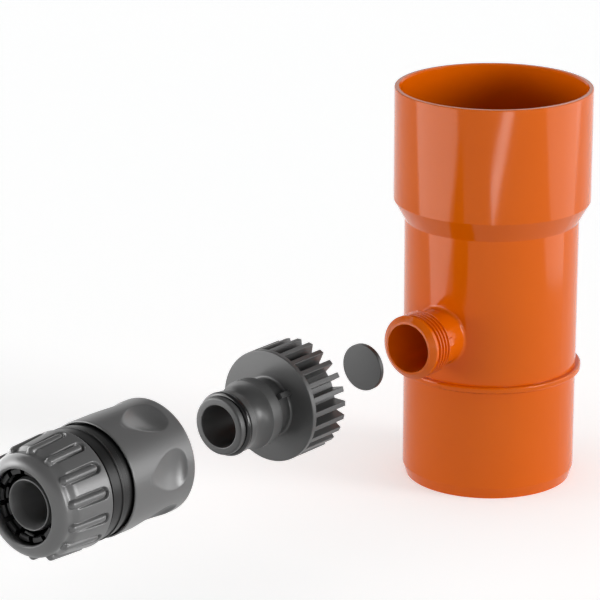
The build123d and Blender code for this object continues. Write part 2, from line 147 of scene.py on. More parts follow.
@dataclass(frozen=True)
class Finish:
    """A real material with the surface that its making gave it."""

    name: str

    def shader(self, tree: bpy.types.NodeTree, place: bpy.types.NodeSocket) -> bpy.types.Node:
        """Return the shader; each kind of finish has its own."""
        raise NotImplementedError

    def material(self) -> bpy.types.Material:
        """Build the material the first time that it's asked for.

        Returns:
            The material, the same one each time.
        """
        made = bpy.data.materials.get(self.name)
        if not made:
            made = blank_material(self.name)
            tree = made.node_tree
            place = add_node(tree, "ShaderNodeTexCoord").outputs["Object"]
            surface = self.shader(tree, place).outputs["BSDF"]
            add_node(tree, "ShaderNodeOutputMaterial", inputs={"Surface": surface})
        return made


@dataclass(frozen=True)
class MouldedPlastic(Finish):
    """Injection-moulded plastic: even colour, a skin copied from the mould and faint flow marks.

    The grain is the mould's texture. Where the real one is finer than the picture can show, it is
    drawn as coarse as it needs to show.
    """

    colour: Colour
    shade: Colour
    roughness: float
    ior: float = 1.5
    grain: float = 0.35
    grain_depth: float = 0.004
    wave: float = 7.0
    wave_depth: float = 0.0
    shade_size: float = 38.0
    roughness_spread: float = 0.04
    specular: float = 0.5

    def shader(self, tree: bpy.types.NodeTree, place: bpy.types.NodeSocket) -> bpy.types.Node:
        """Add the finish's own nodes.

        Args:
            tree: the material's node tree.
            place: the place on the piece, in metres.

        Returns:
            The shader, which ends them.
        """
        # Slow shift of shade, as pigment and wall thickness give it
        noise = {"Vector": place, "Scale": 1 / (self.shade_size * MM), "Detail": 2.0}
        drift = add_node(tree, "ShaderNodeTexNoise", inputs=noise)
        tint = add_node(
            tree,
            "ShaderNodeMix",
            {"data_type": "RGBA"},
            {0: drift.outputs["Fac"], 6: linear(self.colour), 7: linear(self.shade)},
        )
        # Skin grain, which breaks the gloss a little
        noise = {"Vector": place, "Scale": 1 / (self.grain * MM), "Detail": 3.0, "Roughness": 0.6}
        grain = add_node(tree, "ShaderNodeTexNoise", inputs=noise)
        gloss = add_node(
            tree,
            "ShaderNodeMapRange",
            inputs={
                "Value": drift.outputs["Fac"],
                "To Min": self.roughness - self.roughness_spread,
                "To Max": self.roughness + self.roughness_spread,
            },
        )
        bump = {"Distance": self.grain_depth * MM, "Height": grain.outputs["Fac"]}
        normal = add_node(tree, "ShaderNodeBump", inputs=bump).outputs["Normal"]
        if self.wave_depth > 0:
            noise = {"Vector": place, "Scale": 1 / (self.wave * MM), "Detail": 1.0}
            swell = add_node(tree, "ShaderNodeTexNoise", inputs=noise)
            bump = {"Distance": self.wave_depth * MM, "Height": swell.outputs["Fac"], "Normal": normal}
            normal = add_node(tree, "ShaderNodeBump", inputs=bump).outputs["Normal"]
        return add_node(
            tree,
            "ShaderNodeBsdfPrincipled",
            inputs={
                "Base Color": tint.outputs[2],
                "Roughness": gloss.outputs["Result"],
                "IOR": self.ior,
                "Specular IOR Level": self.specular,
                "Normal": normal,
            },
        )


@dataclass(frozen=True)
class SpringWire(Finish):
    """Drawn stainless spring wire: a bright metal with faint drawing marks."""

    name: str = "stainless_spring_wire"
    colour: Colour = Colour.STEEL
    roughness: float = 0.28
    roughness_spread: float = 0.08
    mark: float = 0.5

    def shader(self, tree: bpy.types.NodeTree, place: bpy.types.NodeSocket) -> bpy.types.Node:
        """Add the finish's own nodes.

        Args:
            tree: the material's node tree.
            place: the place on the piece, in metres.

        Returns:
            The shader, which ends them.
        """
        noise = {"Vector": place, "Scale": 1 / (self.mark * MM), "Detail": 2.0}
        marks = add_node(tree, "ShaderNodeTexNoise", inputs=noise)
        gloss = add_node(
            tree,
            "ShaderNodeMapRange",
            inputs={
                "Value": marks.outputs["Fac"],
                "To Min": self.roughness - self.roughness_spread,
                "To Max": self.roughness + self.roughness_spread,
            },
        )
        return add_node(
            tree,
            "ShaderNodeBsdfPrincipled",
            inputs={
                "Base Color": linear(self.colour),
                "Metallic": 1.0,
                "Roughness": gloss.outputs["Result"],
            },
        )


# Unplasticised PVC from a polished mould: glossy, with a faint ripple in the reflections
ORANGE_PVC = MouldedPlastic(
    "orange_pvc_polished_mould", Colour.ORANGE, Colour.ORANGE_DEEP, roughness=0.12, ior=1.53,
    grain=0.6, grain_depth=0.0012, wave=9.0, wave_depth=0.006, specular=0.2,
)
# ABS from a spark-eroded mould: satin, evenly gray
GRAY_ABS = MouldedPlastic(
    "gray_abs_spark_eroded", Colour.LIGHT_GRAY, Colour.LIGHT_GRAY, roughness=0.33,
    grain=0.3, grain_depth=0.005, specular=0.8,
)
# Polypropylene: a softer, darker satin
DARK_PP = MouldedPlastic(
    "dark_gray_polypropylene", Colour.DARK_GRAY, Colour.DARK_GRAY, roughness=0.36, ior=1.49,
)
# The disc's polypropylene, coloured nearly black
DISC_PP = MouldedPlastic(
    "charcoal_polypropylene", Colour.DISC_GRAY, Colour.DISC_GRAY, roughness=0.34, ior=1.49,
)
# The connector body's ABS: nearly black, from a smoother mould than the gray
CHARCOAL_ABS = MouldedPlastic(
    "charcoal_abs", Colour.CHARCOAL, Colour.CHARCOAL, roughness=0.34,
    grain=0.3, grain_depth=0.003, specular=0.4,
)
# Acetal, the slippery plastic of the gripping parts
BLACK_ACETAL = MouldedPlastic(
    "black_acetal", Colour.BLACK, Colour.BLACK, roughness=0.3, ior=1.48,
    grain=0.4, grain_depth=0.002,
)
# Nitrile rubber with a film of grease on it
NITRILE = MouldedPlastic(
    "nitrile_rubber_greased", Colour.RUBBER, Colour.RUBBER, roughness=0.17, ior=1.52,
    grain=0.5, grain_depth=0.002,
)
# Bright wire under the release sleeve
SPRING_STEEL = SpringWire()


@dataclass(frozen=True)
class Axle:
    """The axis that a piece is turned about: its start, its way and the side it is drawn on."""

    base: Vector
    way: Vector
    out: Vector

    def point(self, along: float, radius: float) -> Vector:
        """Return the place this far along and out from the axle, both in mm."""
        return self.base + (self.way * along + self.out * radius) * MM

    def moved(self, along: float) -> "Axle":
        """Return the same axle with its start this many mm further along."""
        return Axle(self.base + self.way * along * MM, self.way, self.out)


@dataclass(frozen=True)
class Corner:
    """One corner of a turned outline, in mm.

    The rounding is a radius, and the rows are extra rings on the stretch to the next corner.
    """

    along: float
    radius: float
    rounding: float = 0.0
    rows: int = 0


def added(name: str) -> Piece:
    """Name the object that an operator has just added.

    Args:
        name: the name of the object and its mesh.

    Returns:
        The object.
    """
    piece = bpy.context.object
    piece.name = name
    piece.data.name = name
    return piece


def choose(*pieces: Piece) -> None:
    """Select only these pieces.

    Args:
        pieces: what to select; the first becomes the active one.
    """
    bpy.ops.object.select_all(action="DESELECT")
    for piece in pieces:
        piece.select_set(True)
    bpy.context.view_layer.objects.active = pieces[0]


def leave_edit() -> None:
    """Go back to object mode."""
    bpy.ops.object.mode_set(mode="OBJECT")


def edit_all() -> None:
    """Go to edit mode with the whole active piece selected."""
    bpy.ops.object.mode_set(mode="EDIT")
    bpy.ops.mesh.select_all(action="SELECT")


def pick(piece: Piece, kind: str, chosen: Sequence[int]) -> None:
    """Go to edit mode with only these vertices or edges of the piece selected.

    Args:
        piece: the mesh object to work on.
        kind: "VERT" or "EDGE".
        chosen: indices of the elements.
    """
    if bpy.context.object and bpy.context.object.mode == "EDIT":
        leave_edit()
    mesh = piece.data
    for group in (mesh.vertices, mesh.edges, mesh.polygons):
        group.foreach_set("select", np.zeros(len(group), dtype=bool))
    group = mesh.vertices if kind == "VERT" else mesh.edges
    for index in chosen:
        group[index].select = True
    bpy.ops.object.mode_set(mode="EDIT")
    bpy.ops.mesh.select_mode(type=kind)


def outline_turn(before: Corner, corner: Corner, after: Corner) -> float:
    """Measure how sharply an outline turns at a corner.

    Args:
        before: the corner before it.
        corner: the corner.
        after: the corner after it.

    Returns:
        The angle, in radians.
    """
    came = Vector((corner.along - before.along, corner.radius - before.radius))
    goes = Vector((after.along - corner.along, after.radius - corner.radius))
    return came.angle(goes)


def turned(
    name: str, outline: Sequence[Corner], axle: Axle, sector_steps: int = 10, sectors: int = 24
) -> Piece:
    """Turn a closed outline about an axle, as on a lathe.

    One sector is spun and then repeated round the axle, which is much quicker than one long spin.

    Args:
        name: the new object's name.
        outline: its corners in order; the last one joins the first.
        axle: the axis to turn about.
        sector_steps: how many faces one sector has round the axle.
        sectors: how many sectors make the full turn.

    Returns:
        The turned piece, with its place in its mesh.
    """
    bpy.ops.object.select_all(action="DESELECT")
    bpy.ops.mesh.primitive_plane_add(size=MM, location=(0, 0, 0))
    piece = added(name)
    places = [axle.point(corner.along, corner.radius) for corner in outline]
    bpy.ops.object.mode_set(mode="EDIT")
    bpy.ops.mesh.select_mode(type="VERT")
    bpy.ops.mesh.select_all(action="SELECT")
    bpy.ops.mesh.merge(type="CENTER")
    bpy.ops.transform.translate(value=places[0])
    for here, there in zip(places, places[1:] + places[:1]):
        bpy.ops.mesh.extrude_vertices_move(TRANSFORM_OT_translate={"value": there - here})
    bpy.ops.mesh.select_all(action="SELECT")
    bpy.ops.mesh.remove_doubles(threshold=1e-7)
    leave_edit()
    # Round each corner, then add rings on the stretches that ask for them
    count = len(outline)
    for index, corner in enumerate(outline):
        if corner.rounding <= 0:
            continue
        turn = outline_turn(outline[index - 1], corner, outline[(index + 1) % count])
        distances = [(vertex.co - places[index]).length for vertex in piece.data.vertices]
        pick(piece, "VERT", [int(np.argmin(distances))])
        bpy.ops.mesh.bevel(
            offset=corner.rounding * tan(turn / 2) * MM,
            offset_type="OFFSET",
            segments=max(2, round(turn / radians(22))),
            affect="VERTICES",
            clamp_overlap=True,
        )
        leave_edit()
    for index, corner in enumerate(outline):
        if corner.rows <= 0:
            continue
        here = places[index]
        there = places[(index + 1) % count]
        line = (there - here).normalized()
        on_line = []
        for edge in piece.data.edges:
            ends = [piece.data.vertices[end].co - here for end in edge.vertices]
            if all((end - line * end.dot(line)).length < 1e-7 for end in ends):
                on_line.append(edge.index)
        pick(piece, "EDGE", on_line)
        bpy.ops.mesh.subdivide(number_cuts=corner.rows)
        leave_edit()
    pick(piece, "VERT", range(len(piece.data.vertices)))
    bpy.ops.mesh.spin(steps=sector_steps, angle=tau / sectors, center=axle.base, axis=axle.way)
    bpy.ops.mesh.select_all(action="SELECT")
    rest = tau * (sectors - 1) / sectors
    bpy.ops.mesh.spin(steps=sectors - 1, angle=rest, center=axle.base, axis=axle.way, dupli=True)
    bpy.ops.mesh.select_all(action="SELECT")
    bpy.ops.mesh.remove_doubles(threshold=1e-6)
    bpy.ops.mesh.normals_make_consistent(inside=False)
    leave_edit()
    return piece


def relief(
    piece: Piece,
    axle: Axle,
    shape: Callable[[np.ndarray, np.ndarray, np.ndarray], np.ndarray],
) -> None:
    """Move the vertices of a turned piece in or out from its axle.

    Args:
        piece: the turned piece.
        axle: its axle.
        shape: gives the new radius from the place along, the turn and the radius.
    """
    mesh = piece.data
    flat = np.empty(len(mesh.vertices) * 3)
    mesh.vertices.foreach_get("co", flat)
    way = np.array(axle.way)
    out = np.array(axle.out)
    side = np.cross(way, out)
    offset = flat.reshape(-1, 3) - np.array(axle.base)
    along = offset @ way / MM
    x = offset @ out / MM
    y = offset @ side / MM
    radius = np.hypot(x, y)
    turn = np.arctan2(y, x)
    new = shape(along, turn, radius)
    moved = np.outer(along, way)
    moved += np.outer(new * np.cos(turn), out) + np.outer(new * np.sin(turn), side)
    mesh.vertices.foreach_set("co", (np.array(axle.base) + moved * MM).ravel())
    mesh.update()


def turn_from(turn: np.ndarray, count: int, first: float) -> np.ndarray:
    """Measure turns from the nearest of some evenly spaced places round an axle.

    Args:
        turn: the turns, in radians.
        count: how many places there are.
        first: where the first one is, in degrees.

    Returns:
        The turns from the nearest place, in radians.
    """
    sector = tau / count
    return (turn - radians(first) + sector / 2) % sector - sector / 2


def soft_min(one: np.ndarray, other: np.ndarray, blend: float) -> np.ndarray:
    """Return the lower of two heights, with a rounded change-over this wide."""
    near = np.maximum(blend - np.abs(one - other), 0) / blend
    return np.minimum(one, other) - near * near * blend / 4


def soft_max(one: np.ndarray, other: np.ndarray, blend: float) -> np.ndarray:
    """Return the higher of two heights, with a rounded change-over this wide."""
    return -soft_min(-one, -other, blend)


def smooth(piece: Piece, angle: float) -> None:
    """Shade a piece smooth, with edges kept past this angle, and even out its normals.

    Args:
        piece: the mesh object.
        angle: the sharp angle, in degrees.
    """
    choose(piece)
    bpy.ops.object.shade_smooth_by_angle(angle=radians(angle))
    modifier = piece.modifiers.new("even_normals", "WEIGHTED_NORMAL")
    modifier.keep_sharp = True
    bpy.ops.object.modifier_apply(modifier=modifier.name)


def dress(piece: Piece, finish: Finish) -> None:
    """Give a piece one finish all over.

    Args:
        piece: a new piece or a CAD node.
        finish: what it is made of.
    """
    if not piece.data.materials:
        piece.data.materials.append(finish.material())
    for slot in piece.material_slots:
        slot.material = finish.material()


def dress_nodes(finish: Finish, *nodes: str) -> None:
    """Give these CAD nodes one finish."""
    for node in nodes:
        dress(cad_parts[node], finish)


def stand_for(
    piece: Piece,
    node: str,
    body: str,
    finish: Finish,
    angle: float = 35.0,
) -> None:
    """Smooth and dress a new piece, and let it stand for a CAD node.

    Args:
        piece: the new piece.
        node: the CAD node, which has a material slot of the same name.
        body: the body that carries it.
        finish: what it is made of.
        angle: the sharp angle, in degrees.
    """
    smooth(piece, angle)
    dress(piece, finish)
    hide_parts(node)
    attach(piece, body)


def outlet_axle() -> Axle:
    """Find the outlet's axle.

    Returns:
        The axle, from the pipe's axis out through the disc's middle, drawn on the +X side.
    """
    low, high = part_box("shut_off_disc")
    height = (low[2] + high[2]) / 2
    return Axle(Vector((0, 0, height)), Vector((0, -1, 0)), Vector((1, 0, 0)))


def axle_from(node: str) -> Axle:
    """Return the outlet's axle, started at the end of this CAD node that faces the pipe."""
    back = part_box(node)[1][1]
    return outlet_axle().moved(-back / MM)


def block(
    name: str, axle: Axle, reach: tuple[float, float], radii: tuple[float, float], width: float
) -> Piece:
    """Add a block beside an axle and leave it in edit mode, all selected.

    Args:
        name: the new object's name.
        axle: the axis, which gives the side to stand on.
        reach: where the block starts and ends along the axle, in mm.
        radii: how far out its inner and outer faces are, in mm.
        width: how wide it is, in mm.

    Returns:
        The block, ready to be shaped.
    """
    back, front = (axle.point(along, 0).y for along in reach)
    half = width / 2 * MM
    low = Vector((radii[0] * MM, front, axle.base.z - half))
    high = Vector((radii[1] * MM, back, axle.base.z + half))
    bpy.ops.object.select_all(action="DESELECT")
    bpy.ops.mesh.primitive_cube_add(size=1.0, location=(0, 0, 0))
    piece = added(name)
    edit_all()
    bpy.ops.transform.resize(value=high - low)
    bpy.ops.transform.translate(value=(low + high) / 2)
    return piece


def select_edges(piece: Piece, test: Callable[[Vector, Vector], bool]) -> None:
    """Select the edges whose two ends pass a test, and go to edit mode.

    Args:
        piece: the mesh object.
        test: takes both ends of an edge.
    """
    leave_edit()
    points = piece.data.vertices
    chosen = [
        edge.index
        for edge in piece.data.edges
        if test(points[edge.vertices[0]].co, points[edge.vertices[1]].co)
    ]
    pick(piece, "EDGE", chosen)


def turned_copy(piece: Piece, axle: Axle, angle: float) -> Piece:
    """Copy a piece with its own mesh and turn the copy about an axle.

    Args:
        piece: the piece to copy.
        axle: the axis to turn about.
        angle: how far, in radians.

    Returns:
        The copy, with its place in its mesh.
    """
    copy = piece.copy()
    copy.data = piece.data.copy()
    bpy.context.scene.collection.objects.link(copy)
    there = Matrix.Translation(axle.base)
    copy.data.transform(there @ Matrix.Rotation(angle, 4, axle.way) @ there.inverted())
    return copy


def joined(main: Piece, others: Sequence[Piece]) -> None:
    """Join other pieces into the main one.

    Args:
        main: the piece that stays.
        others: the pieces that become part of it.
    """
    choose(main, *others)
    bpy.ops.object.join()


def circle_centre(one: Vector, two: Vector, three: Vector) -> Vector:
    """Find the circle through three points of a plane.

    Args:
        one: the first point.
        two: the second point.
        three: the third point.

    Returns:
        Its centre.
    """
    first = two - one
    second = three - one
    cross = 2 * (first.x * second.y - first.y * second.x)
    across = (second.y * first.length_squared - first.y * second.length_squared) / cross
    up = (first.x * second.length_squared - second.x * first.length_squared) / cross
    return one + Vector((across, up))


def arc(start: Vector, through: Vector, end: Vector, count: int) -> list[Corner]:
    """Return an outline's corners along the circle through three points.

    Args:
        start: the first corner, along and out, in mm.
        through: a point that the arc passes.
        end: the last corner.
        count: how many corners, with both ends.

    Returns:
        The corners in order.
    """
    centre = circle_centre(start, through, end)
    size = (start - centre).length
    first = np.arctan2(start.y - centre.y, start.x - centre.x)
    last = np.arctan2(end.y - centre.y, end.x - centre.x)
    corners = []
    for share in np.linspace(0, 1, count):
        angle = first + (last - first) * share
        corners.append(Corner(centre.x + size * cos(angle), centre.y + size * sin(angle)))
    return corners


@dataclass
class Diverter:
    """The orange moulding and the catch ring inside it."""

    def build(self) -> None:
        """Dress the CAD nodes."""
        dress_nodes(ORANGE_PVC, "diverter_body", "catch_ring")
        log.info("diverter body and catch ring dressed")


@dataclass
class OutletAdapter:
    """The dark adapter: a cup with fins, a flange and a nozzle. Distances run from the cup's end."""

    cup_depth: float = 21.9
    cup_radius: float = 19.2
    cup_bore: float = 15.9
    flange: float = 2.5
    flange_radius: float = 26.0
    neck_radius: float = 13.2
    neck_fillet: float = 1.2
    guide_back: float = 33.9
    guide_front: float = 40.0
    guide_radius: float = 16.0
    slope_front: float = 46.6
    waist_radius: float = 12.4
    hollow_back: float = 3.63
    hollow_rise: float = 1.12
    slope_steps: int = 12
    collar_back: float = 49.8
    collar_front: float = 53.2
    collar_radius: float = 14.4
    groove_front: float = 56.4
    groove_radius: float = 11.9
    mouth: float = 59.5
    nose_radius: float = 13.3
    bore: float = 9.8
    edge: float = 0.3
    fins: int = 24
    fin_turn: float = 1.5
    fin_thickness: float = 2.5
    fin_slant: float = 0.9
    root: float = 0.3
    key_turn: float = 37.0
    key_width: float = 2.4
    key_length: float = 6.5
    key_height: float = 2.8
    key_edge: float = 0.2

    def outline(self) -> list[Corner]:
        """Draw the adapter's outline.

        Returns:
            Its corners, from the nozzle's mouth back to the cup and its bore.
        """
        along = self.cup_depth + self.flange
        corners = [
            Corner(self.mouth, self.bore, 0.4),
            Corner(self.mouth, self.nose_radius, 0.9),
            Corner(self.groove_front, self.nose_radius, 0.25),
            Corner(self.groove_front, self.groove_radius, 0.3),
            Corner(self.collar_front, self.groove_radius, 0.3),
            Corner(self.collar_front, self.collar_radius, self.edge),
            Corner(self.collar_back, self.collar_radius, self.edge),
            Corner(self.collar_back, self.waist_radius, 0.3),
        ]
        # The waist swells to the guide in one hollow curve
        start = Vector((self.slope_front, self.waist_radius))
        hollow = Vector((self.slope_front - self.hollow_back, self.waist_radius + self.hollow_rise))
        end = Vector((self.guide_front, self.guide_radius))
        corners += arc(start, hollow, end, self.slope_steps)
        corners += [
            Corner(self.guide_back, self.guide_radius, self.edge),
            Corner(self.guide_back, self.neck_radius, 0.4),
            Corner(along, self.neck_radius, self.neck_fillet),
            Corner(along, self.flange_radius, 0.5),
            Corner(self.cup_depth, self.flange_radius, self.edge),
            Corner(self.cup_depth, self.cup_radius, 0.3),
            Corner(0, self.cup_radius, self.edge),
            Corner(0, self.cup_bore, self.edge),
            Corner(self.cup_depth, self.cup_bore, 0.2),
            Corner(self.cup_depth, self.bore, 0.3),
        ]
        return corners

    def fin(self, axle: Axle) -> Piece:
        """Shape one fin, on the side that the axle is drawn on.

        Args:
            axle: the adapter's axle, which starts at the cup's end.

        Returns:
            The fin, with soft edges and a back end that leans out of the way.
        """
        reach = (0, self.cup_depth + self.root)
        radii = (self.cup_radius - self.root, self.flange_radius)
        fin = block("fin", axle, reach, radii, self.fin_thickness)
        back = axle.point(0, 0).y

        def outer(point: Vector) -> bool:
            """Tell whether a point lies on the fin's outer face."""
            return abs(point.x - self.flange_radius * MM) < 1e-6

        def at_back(point: Vector) -> bool:
            """Tell whether a point lies on the fin's back end, leaned or not."""
            return point.y > back - 1.1 * self.fin_slant * MM

        select_edges(fin, lambda a, b: outer(a) and outer(b) and at_back(a) and at_back(b))
        bpy.ops.transform.translate(value=(0, -self.fin_slant * MM, 0))
        select_edges(fin, lambda a, b: (outer(a) and outer(b)) or (at_back(a) and at_back(b)))
        bpy.ops.mesh.bevel(offset=self.edge * MM, segments=3, affect="EDGES")
        leave_edit()
        return fin

    def key(self, axle: Axle) -> Piece:
        """Shape the key on the nozzle's neck, on the side that the axle is drawn on.

        Args:
            axle: the adapter's axle.

        Returns:
            The key, with soft edges.
        """
        back = self.cup_depth + self.flange
        radii = (self.neck_radius - self.root, self.neck_radius + self.key_height)
        key = block("key", axle, (back, back + self.key_length), radii, self.key_width)
        bpy.ops.mesh.bevel(offset=self.key_edge * MM, segments=2, affect="EDGES")
        leave_edit()
        return key

    def build(self) -> None:
        """Turn the adapter, set its fins and key on it and dress it and its seals."""
        axle = axle_from("outlet_adapter")
        adapter = turned("outlet_adapter_shell", self.outline(), axle)
        fin = self.fin(axle)
        key = self.key(axle)
        turns = [radians(self.fin_turn) + number * tau / self.fins for number in range(self.fins)]
        extras = [turned_copy(fin, axle, turn) for turn in turns]
        extras.append(turned_copy(key, axle, radians(self.key_turn)))
        bpy.data.objects.remove(fin)
        bpy.data.objects.remove(key)
        joined(adapter, extras)
        stand_for(adapter, "outlet_adapter", "adapter", DARK_PP)
        dress_nodes(DISC_PP, "shut_off_disc")
        dress_nodes(NITRILE, "adapter_gasket", "nozzle_o_ring")
        log.info("outlet adapter with %d fins: %d faces", self.fins, len(adapter.data.polygons))


@dataclass
class ReleaseSleeve:
    """The gray sleeve that is pulled back to free the nozzle, with scooped finger dimples."""

    length: float = 39.5
    radius: float = 26.05
    back_round: float = 1.6
    front_round: float = 0.5
    bore: float = 20.1
    inner_lip: float = 19.0
    lip_back: float = 3.0
    lip_front: float = 6.0
    spring_step: float = 28.9
    spring_bore: float = 21.3
    skirt: float = 6.5
    skirt_bore: float = 25.3
    dimples: int = 6
    dimple_turn: float = 6.5
    dimple_back: float = 5.6
    dimple_deepest: float = 12.6
    dimple_front: float = 28.4
    dimple_depth: float = 3.1
    dimple_slope: float = 1.185
    scoop: float = 27.5
    edge_blend: float = 0.3
    skin: float = 0.01
    margin: float = 1.0
    sharp_angle: float = 75.0
    rows: int = 110
    sector_steps: int = 20

    def outline(self) -> list[Corner]:
        """Return the sleeve's outline, from its back end."""
        return [
            Corner(0, self.bore, 0.3),
            Corner(0, self.radius, self.back_round, self.rows),
            Corner(self.length, self.radius, self.front_round),
            Corner(self.length, self.skirt_bore, 0.15),
            Corner(self.length - self.skirt, self.skirt_bore, 0.2),
            Corner(self.length - self.skirt, self.spring_bore, 0.15),
            Corner(self.spring_step, self.spring_bore, 0.2),
            Corner(self.spring_step, self.bore, 0.2),
            Corner(self.lip_front, self.bore, 0.2),
            Corner(self.lip_front, self.inner_lip, 0.15),
            Corner(self.lip_back, self.inner_lip, 0.15),
            Corner(self.lip_back, self.bore, 0.2),
        ]

    def dimple(self, along: np.ndarray, turn: np.ndarray, radius: np.ndarray) -> np.ndarray:
        """Scoop the finger dimples out of the outer skin.

        Args:
            along: the place along the axle, in mm.
            turn: the turn about it, in radians.
            radius: the radius of the turned sleeve, in mm.

        Returns:
            The new radius, in mm.
        """
        local = turn_from(turn, self.dimples, self.dimple_turn)
        rise = np.clip((self.dimple_deepest - along) / (self.dimple_deepest - self.dimple_back), 0, 1)
        fall = np.clip((along - self.dimple_deepest) / (self.dimple_front - self.dimple_deepest), 0, 1)
        # The scoop goes in on a quarter ellipse and comes out on a long slope
        entry = np.sqrt(1 - rise**2)
        slope = self.dimple_slope * fall**3 - (1 + self.dimple_slope) * fall**2 + 1
        share = np.where(along < self.dimple_deepest, entry, slope)
        away = self.radius - self.dimple_depth + self.scoop
        reach = self.scoop - self.dimple_depth * (1 - share)
        across = away * np.sin(local)
        inside = np.maximum(reach**2 - across**2, 0)
        clear = self.radius + 2 * self.margin
        near = (along > self.dimple_back - self.margin) & (along < self.dimple_front + self.margin)
        cut = np.where((inside > 0) & near, away * np.cos(local) - np.sqrt(inside), clear)
        scooped = soft_min(np.full_like(radius, self.radius), cut, self.edge_blend)
        return np.where(radius > self.radius - self.skin, scooped, radius)

    def build(self) -> None:
        """Turn the sleeve, scoop the dimples and dress it."""
        axle = axle_from("release_sleeve")
        sleeve = turned("release_sleeve_shell", self.outline(), axle, self.sector_steps)
        relief(sleeve, axle, self.dimple)
        stand_for(sleeve, "release_sleeve", "sleeve", GRAY_ABS, self.sharp_angle)
        log.info("release sleeve: %d faces", len(sleeve.data.polygons))


@dataclass
class ClampNut:
    """The gray nut with a rounded nose, a soft groove behind it and a ring of raised bars."""

    length: float = 28.3
    radius: float = 26.05
    front_radius: float = 24.3
    edge_round: float = 0.5
    thread_radius: float = 21.7
    thread_length: float = 13.9
    thread_wall: float = 0.8
    nose_wall: float = 3.0
    nose: float = 8.0
    nose_steps: int = 34
    bulge_back: float = 2.4
    bulge_drop: float = 2.08
    lip: float = 0.9
    opening: float = 16.7
    bars: int = 14
    bar_turn: float = 12.3
    bar_radius: float = 1.8
    bar_start: float = 2.9
    bar_end: float = 23.5
    bar_fall: float = 0.8
    bar_blend: float = 0.25
    pocket_back: float = 1.8
    pocket_floor: float = 23.9
    pocket_half: float = 2.75
    pocket_side: float = 0.35
    groove_middle: float = 22.3
    groove_width: float = 2.3
    groove_depth: float = 1.2
    margin: float = 1.0
    sharp_angle: float = 75.0
    rows: int = 84
    steps_per_bar: int = 44

    def outline(self) -> list[Corner]:
        """Draw the nut's outline.

        Returns:
            Its corners, from the back end over the nose and through the opening.
        """
        # The nose is one arc from the nut's wall to the lip of its opening
        start = Vector((self.length - self.nose, self.front_radius))
        middle = Vector((self.length - self.bulge_back, self.front_radius - self.bulge_drop))
        end = Vector((self.length, self.opening + self.lip))
        return [
            Corner(0, self.thread_radius, 0.3),
            Corner(0, self.radius, self.edge_round, self.rows),
            *arc(start, middle, end, self.nose_steps),
            Corner(self.length, self.opening, self.lip),
            Corner(self.length - 2 * self.lip, self.opening, 0.3),
            Corner(self.thread_length, self.thread_radius, 0.3),
        ]

    def grip(self, along: np.ndarray, turn: np.ndarray, radius: np.ndarray) -> np.ndarray:
        """Shape the pockets, the bars and the groove behind the nose.

        Args:
            along: the place along the axle, in mm.
            turn: the turn about it, in radians.
            radius: the radius of the turned nut, in mm.

        Returns:
            The new radius, in mm.
        """
        local = turn_from(turn, self.bars, self.bar_turn)
        at_thread = along < self.thread_length + self.margin
        nose_bore = self.opening + self.nose_wall
        inner = np.where(at_thread, self.thread_radius + self.thread_wall, nose_bore)
        skin = np.where((radius > inner) & (along > 0), radius, np.nan)
        groove = self.groove_depth * np.exp(-(((along - self.groove_middle) / self.groove_width) ** 2))
        base = skin - groove
        across = base * np.sin(local)
        # Pocket with a round back end, which runs out at the front
        past = np.maximum(self.pocket_back + self.pocket_half - along, 0)
        inside = self.pocket_half - np.hypot(past, across)
        depth = np.clip(inside / self.pocket_side, 0, 1)
        depth = depth * depth * (3 - 2 * depth)
        floor = np.minimum(base, self.pocket_floor / np.cos(local))
        pocketed = base + (floor - base) * depth
        # Bar, a round-ended rod that leans in towards the nose
        first = self.bar_start + self.bar_radius
        last = self.bar_end - self.bar_radius
        share = np.clip((along - first) / (last - first), 0, 1)
        middle = self.radius - self.bar_radius - self.bar_fall * share
        beyond = np.maximum(first - along, 0) + np.maximum(along - last, 0)
        height = self.bar_radius**2 - beyond**2 - across**2
        bar = np.where(height > 0, (middle + np.sqrt(np.maximum(height, 0))) / np.cos(local), 0)
        lifted = np.where(height > 0, soft_max(pocketed, bar, self.bar_blend), pocketed)
        return np.where(np.isnan(skin), radius, lifted)

    def build(self) -> None:
        """Turn the nut, raise its bars and dress it."""
        axle = axle_from("clamp_nut")
        nut = turned("clamp_nut_shell", self.outline(), axle, self.steps_per_bar, self.bars)
        relief(nut, axle, self.grip)
        stand_for(nut, "clamp_nut", "nut", GRAY_ABS, self.sharp_angle)
        log.info("clamp nut: %d faces", len(nut.data.polygons))


